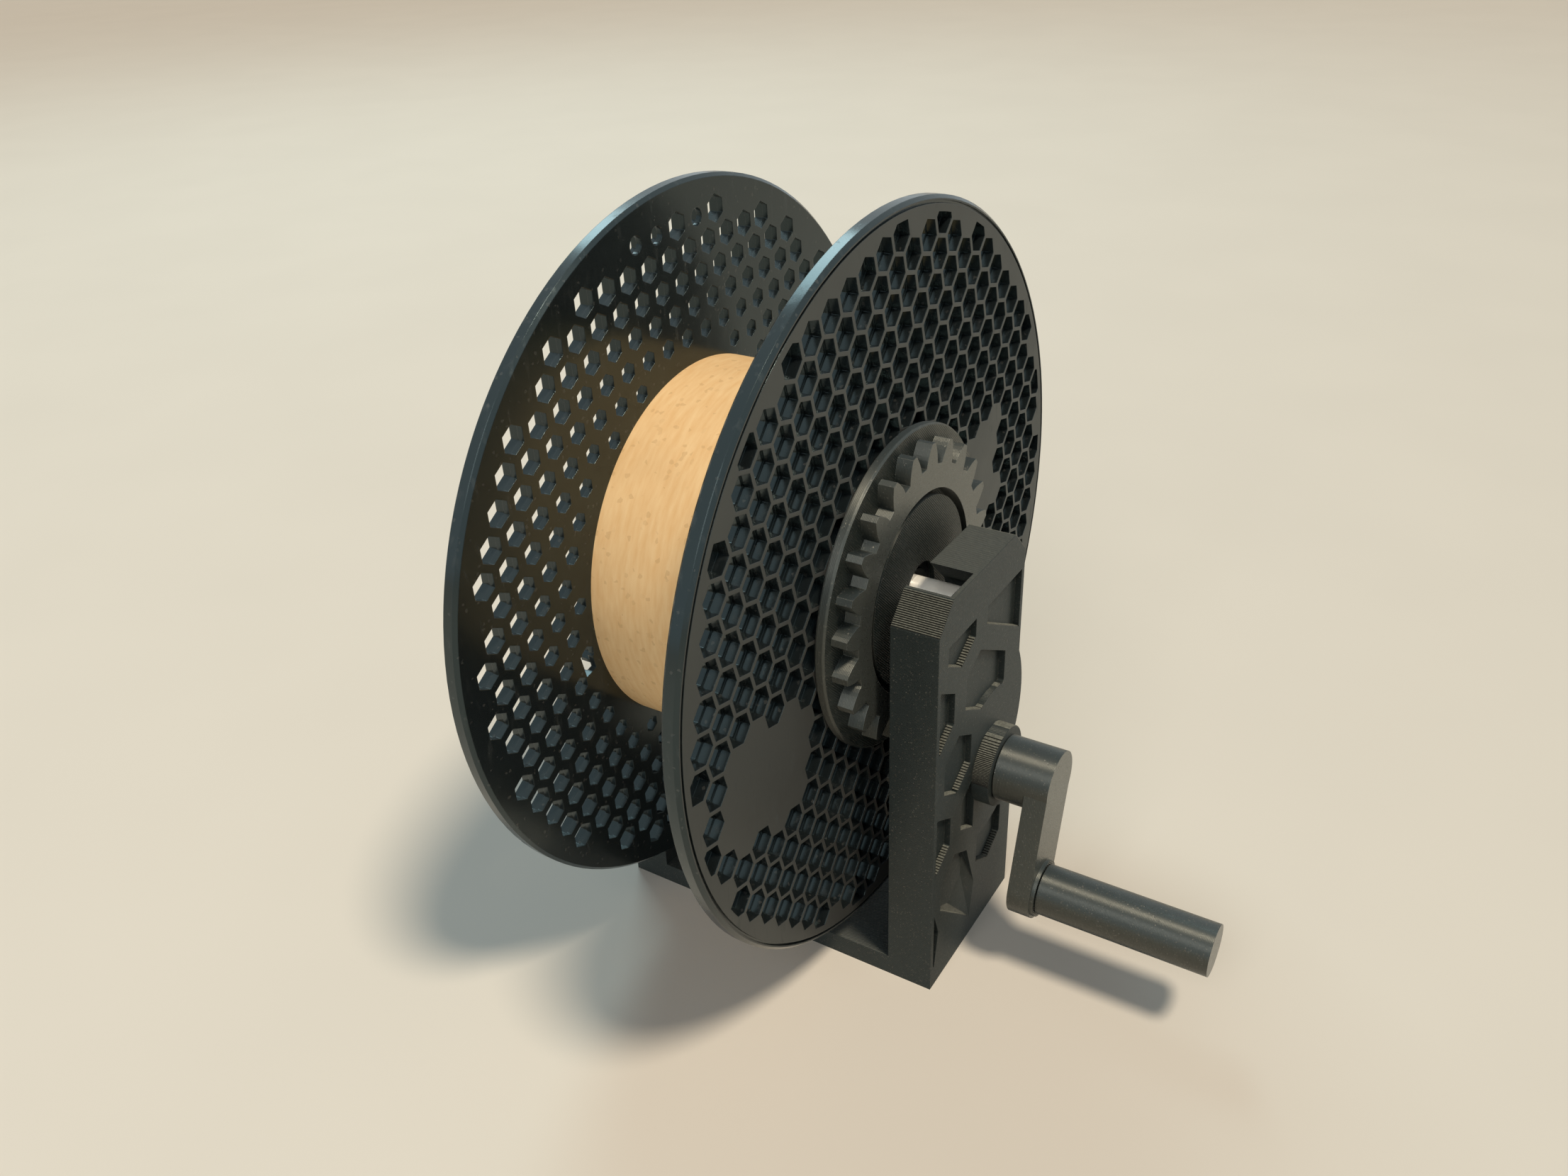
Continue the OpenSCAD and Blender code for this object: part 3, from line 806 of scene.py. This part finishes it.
@dataclass
class CapScrew:
    """A low cap screw with a rounded head, a hexagon socket and a cut thread."""

    node: str
    body: str
    head_radius: float = 3.0 * MM
    head_height: float = 1.6 * MM
    head_round: float = 0.4 * MM
    head_edge: float = 0.1 * MM
    socket_flats: float = 2.0 * MM
    socket_depth: float = 1.0 * MM
    socket_edge: float = 0.15 * MM
    thread_radius: float = 1.5 * MM
    thread_depth: float = 0.27 * MM
    thread_pitch: float = 0.5 * MM
    tip_length: float = 0.4 * MM
    tip_share: float = 0.3
    around: int = 48
    round_steps: int = 4
    pitch_steps: int = 6

    def ring(self, radius: float, hexagon: bool = False) -> list[Span]:
        """Points round the screw's axis.

        Args:
            radius: The circle's radius, or half the hexagon's width across flats.
            hexagon: Whether the points lie on a hexagon.

        Returns:
            The points in X and Z.
        """
        points = []
        for k in range(self.around):
            turn = 2 * math.pi * k / self.around
            reach = radius / math.cos(turn % (math.pi / 3) - math.pi / 6) if hexagon else radius
            points.append((reach * math.cos(turn), reach * math.sin(turn)))
        return points

    def head(self, seat: float) -> list[Ring]:
        """The head's rings, from its seat to the floor of its socket.

        Args:
            seat: The place of the seat along Y.

        Returns:
            The place along Y and the points of each ring.
        """
        top = seat + self.head_height
        rings = [(seat, self.ring(self.head_radius - self.head_edge)),
                 (seat + self.head_edge, self.ring(self.head_radius))]
        for k in range(self.round_steps + 1):
            turn = math.pi / 2 * k / self.round_steps
            fall = self.head_round * (1 - math.sin(turn))
            pull = self.head_round * (1 - math.cos(turn))
            rings.append((top - fall, self.ring(self.head_radius - pull)))
        half = self.socket_flats / 2
        rings.append((top, self.ring(half + self.socket_edge, True)))
        rings.append((top - self.socket_edge, self.ring(half, True)))
        rings.append((top - self.socket_depth, self.ring(half, True)))
        return rings

    def thread(self, tip: float, seat: float) -> list[Ring]:
        """The shank's rings, whose points move in and out along the thread.

        Args:
            tip: The place of the tip along Y.
            seat: The place of the head's seat along Y.

        Returns:
            The place along Y and the points of each ring.
        """
        rings = []
        count = math.ceil((seat - tip) / self.thread_pitch * self.pitch_steps)
        for n in range(count + 1):
            y = tip + (seat - tip) * n / count
            points = []
            for k, (x, z) in enumerate(self.ring(1.0)):
                phase = (y / self.thread_pitch + k / self.around) % 1.0
                cut = self.thread_depth * abs(2 * phase - 1)
                if y < tip + self.tip_length:
                    cut = max(cut, self.thread_radius * self.tip_share - (y - tip))
                points.append((x * (self.thread_radius - cut), z * (self.thread_radius - cut)))
            rings.append((y, points))
        return rings

    def build(self, material: bpy.types.Material) -> None:
        """Build the screw in place of its plain node.

        Args:
            material: Its finish.
        """
        low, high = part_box(self.node)
        centre, seat = (low + high) / 2, high.y - self.head_height
        work = bmesh.new()
        rows = [[work.verts.new((centre.x + x, y, centre.z + z)) for x, z in points]
                for y, points in self.thread(low.y, seat) + self.head(seat)]
        for first, second in zip(rows, rows[1:]):
            for k in range(self.around):
                work.faces.new((first[k - 1], first[k], second[k], second[k - 1]))
        work.faces.new(rows[0])
        work.faces.new(rows[-1])
        piece = add_piece(f"{self.node}_cut", work, material, self.body)
        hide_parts(self.node)


@dataclass
class Stand:
    """The printed stand and the steel rod that lies in its slots."""

    printed: PrintedFinish = PrintedFinish("printed_stand", Axis.Z, bed_plane=0.0)

    def dress(self) -> None:
        """Finish the stand and the rod."""
        dress(self.printed.material(), "frame")
        dress(SteelFinish(Grade.ROD).material(), "axle_rod")
        LayerSteps().build(StepPaintedLight().material())


@dataclass
class Spool:
    """The moulded flanges on their board core, and the printed drive parts in its bore."""

    gear_print: PrintedFinish = PrintedFinish(
        "printed_gear", Axis.Y, bed_plane=-40.2 * MM, index=1.9, colour=DEEP_GREY)
    hub_print: PrintedFinish = PrintedFinish(
        "printed_hub", Axis.Y, bed_plane=33.15 * MM, index=1.55, colour=(0.014, 0.02, 0.02))

    def dress(self) -> None:
        """Finish the spool, the gear and both hubs."""
        dress(MouldedFinish("moulded_front", -1.0).material(), "front_flange")
        dress(MouldedFinish("moulded_rear", 1.0).material(), "rear_flange")
        dress(KraftFinish().material(), "spool_core")
        dress(self.gear_print.material(), "drive_gear")
        dress(self.hub_print.material(), "front_hub", "rear_hub")


@dataclass
class Bearing:
    """One ball bearing, by the name of its end of the axle."""

    end: str

    def dress(self) -> None:
        """Finish its rings, balls and shields."""
        race = SteelFinish(Grade.RACE).material()
        dress(race, *(f"{self.end}_bearing_{piece}" for piece in ("outer", "inner", "balls")))
        dress(SteelFinish(Grade.SHEET).material(), f"{self.end}_bearing_shields")


@dataclass
class Crank:
    """The crank, its pinion and its turning grip."""

    arm_print: PrintedFinish = PrintedFinish(
        "printed_crank", Axis.Y, bed_plane=-79.1 * MM, index=1.95, colour=DEEP_GREY)
    grip_print: PrintedFinish = PrintedFinish(
        "printed_grip", Axis.Y, bed_plane=-127.95 * MM, index=1.9, colour=DEEP_GREY)

    def dress(self) -> None:
        """Finish the crank, pinion, grip and their fasteners."""
        plated = SteelFinish(Grade.PLATED).material()
        dress(self.arm_print.material(), "crank", "pinion")
        dress(self.grip_print.material(), "grip")
        dress(plated, "grip_washer")
        CapScrew("pinion_screw", "crank").build(plated)
        CapScrew("grip_screw", "grip").build(plated)


class LampKind(Enum):
    """The kinds of lamp, by Blender's names."""

    SUN = "SUN"
    AREA = "AREA"


@dataclass(frozen=True)
class Lamp:
    """A lamp that faces the object.

    Its size is a sun's angle in radians, or an area's side in metres.
    """

    name: str
    kind: LampKind
    strength: float
    size: float
    colour: Colour
    direction: Triple
    distance: float

    def hang(self, target: Vector) -> None:
        """Hang the lamp so that it faces a point.

        Args:
            target: The point.
        """
        light = bpy.data.lights.new(self.name, self.kind.value)
        light.energy, light.color = self.strength, self.colour
        if self.kind is LampKind.SUN:
            light.angle = self.size
        else:
            light.size = self.size
        lamp = bpy.data.objects.new(self.name, light)
        place = target + self.distance * Vector(self.direction)
        lamp.location = place
        lamp.rotation_euler = (target - place).to_track_quat("-Z", "Y").to_euler()
        bpy.context.scene.collection.objects.link(lamp)


@dataclass
class Studio:
    """The pale ground, the lights and the camera."""

    azimuth: float = -57.19
    elevation: float = 29.88
    roll: float = -2.32
    eye: Triple = (-0.27017, -0.17123, 0.28675)
    focal_pixels: float = 1850.0
    frame_pixels: float = 2212.0
    sensor_width: float = 36.0
    nearest: float = 0.01
    ground_size: float = 16.0
    middle: Triple = (0.0, 0.0, 0.1)
    warm_key: Lamp = Lamp("warm_key", LampKind.SUN, 2.45, math.radians(11), (1.0, 0.86, 0.68),
                          (-0.1, -0.47, 1.0), 3.0)
    soft_left: Lamp = Lamp("soft_left", LampKind.AREA, 7.5, 0.7, (1.0, 0.96, 0.9),
                           (-0.9, -0.15, 0.72), 1.4)
    cool_window: Lamp = Lamp("cool_window", LampKind.AREA, 11.0, 0.8, (0.7, 0.95, 1.0),
                             (0.47, 0.52, 0.74), 2.0)
    fill: Colour = (0.66, 0.85, 1.0)
    fill_strength: float = 0.11
    backdrop: Colour = (0.7, 0.77, 0.79)

    def ground(self) -> None:
        """Lay the ground under the object."""
        mesh = bpy.data.meshes.new("ground")
        half = self.ground_size / 2
        corners = [(-half, -half, 0), (half, -half, 0), (half, half, 0), (-half, half, 0)]
        mesh.from_pydata(corners, [], [(0, 1, 2, 3)])
        mesh.materials.append(ClothFinish().material())
        ground = bpy.data.objects.new("ground", mesh)
        bpy.context.scene.collection.objects.link(ground)

    def lights(self) -> None:
        """Hang a warm lamp over the crank side, a soft one on the left and a cool window behind."""
        for lamp in (self.warm_key, self.soft_left, self.cool_window):
            lamp.hang(Vector(self.middle))

    def room(self) -> None:
        """Fill the room with soft cool light, in front of a pale backdrop."""
        world = bpy.data.worlds.new("soft_room")
        world.use_nodes = True
        tree = world.node_tree
        fill = tree.nodes["Background"]
        fill.inputs["Color"].default_value = (*self.fill, 1.0)
        fill.inputs["Strength"].default_value = self.fill_strength
        pale = tree.nodes.new("ShaderNodeBackground")
        pale.inputs["Color"].default_value = (*self.backdrop, 1.0)
        path = tree.nodes.new("ShaderNodeLightPath")
        seen = path.outputs["Is Camera Ray"]
        for kind in ("Is Glossy Ray", "Is Transmission Ray"):
            either = tree.nodes.new("ShaderNodeMath")
            either.operation = "MAXIMUM"
            tree.links.new(seen, either.inputs[0])
            tree.links.new(path.outputs[kind], either.inputs[1])
            seen = either.outputs[0]
        mix = tree.nodes.new("ShaderNodeMixShader")
        tree.links.new(seen, mix.inputs[0])
        tree.links.new(fill.outputs[0], mix.inputs[1])
        tree.links.new(pale.outputs[0], mix.inputs[2])
        tree.links.new(mix.outputs[0], tree.nodes["World Output"].inputs[0])
        bpy.context.scene.world = world

    def camera(self) -> None:
        """Set the camera where the photograph was taken from."""
        turn, tilt = math.radians(self.azimuth), math.radians(self.elevation)
        back = Vector((math.sin(turn) * math.cos(tilt), -math.cos(turn) * math.cos(tilt),
                       math.sin(tilt)))
        right = (-back).cross(Vector((0, 0, 1))).normalized()
        level = Matrix((right, back.cross(right), back)).transposed().to_4x4()
        lens = bpy.data.cameras.new("photo_camera")
        lens.sensor_width = self.sensor_width
        lens.lens = self.focal_pixels / self.frame_pixels * self.sensor_width
        lens.clip_start = self.nearest
        camera = bpy.data.objects.new("photo_camera", lens)
        camera.matrix_world = (Matrix.Translation(self.eye) @ level
                               @ Matrix.Rotation(math.radians(self.roll), 4, "Z"))
        bpy.context.scene.collection.objects.link(camera)
        bpy.context.scene.camera = camera

    def build(self) -> None:
        """Build the whole studio."""
        self.ground()
        self.lights()
        self.room()
        self.camera()
        bpy.context.scene.view_settings.view_transform = "Standard"


def main() -> None:
    """Build and dress every sub-assembly, then the studio."""
    logging.basicConfig(level=logging.INFO, format="%(name)s: %(message)s")
    assemblies = [Stand(), Spool(), Bearing("front"), Bearing("rear"), Crank()]
    for assembly in assemblies:
        assembly.dress()
    Studio().build()


if __name__ == "__main__":
    main()
